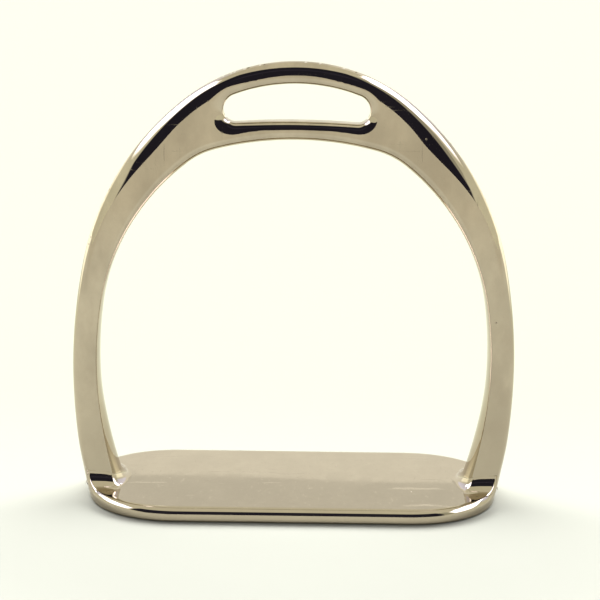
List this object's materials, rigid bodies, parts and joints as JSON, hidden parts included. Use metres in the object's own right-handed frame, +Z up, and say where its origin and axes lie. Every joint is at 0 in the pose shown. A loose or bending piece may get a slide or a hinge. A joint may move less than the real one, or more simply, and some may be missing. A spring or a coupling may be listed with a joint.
{
  "type": "stirrup iron",
  "caption": "Plain metal riding stirrup: an arched bow with a leather eye at its crown, its feet set into a flat tread plate with a rounded rim.",
  "frame": {"origin": "centre of the tread plate's underside, on the ground the iron stands on", "axes": "+X across the opening towards the right branch, +Y through the opening the way the foot goes in, +Z up to the leather eye"},
  "size_m": [0.1492, 0.0464, 0.1535],
  "materials": {
    "nickel_plate": "polished warm-toned nickel plate on steel, with fine wear scratches and small casting pits",
    "braze_metal": "plated braze fillet, slightly lumpy where it was hand finished"
  },
  "bodies": {
    "root": {"bow": "nickel_plate", "tread_plate": "nickel_plate", "braze_fillet_left": "braze_metal", "braze_fillet_right": "braze_metal"}
  },
  "joints": []
}
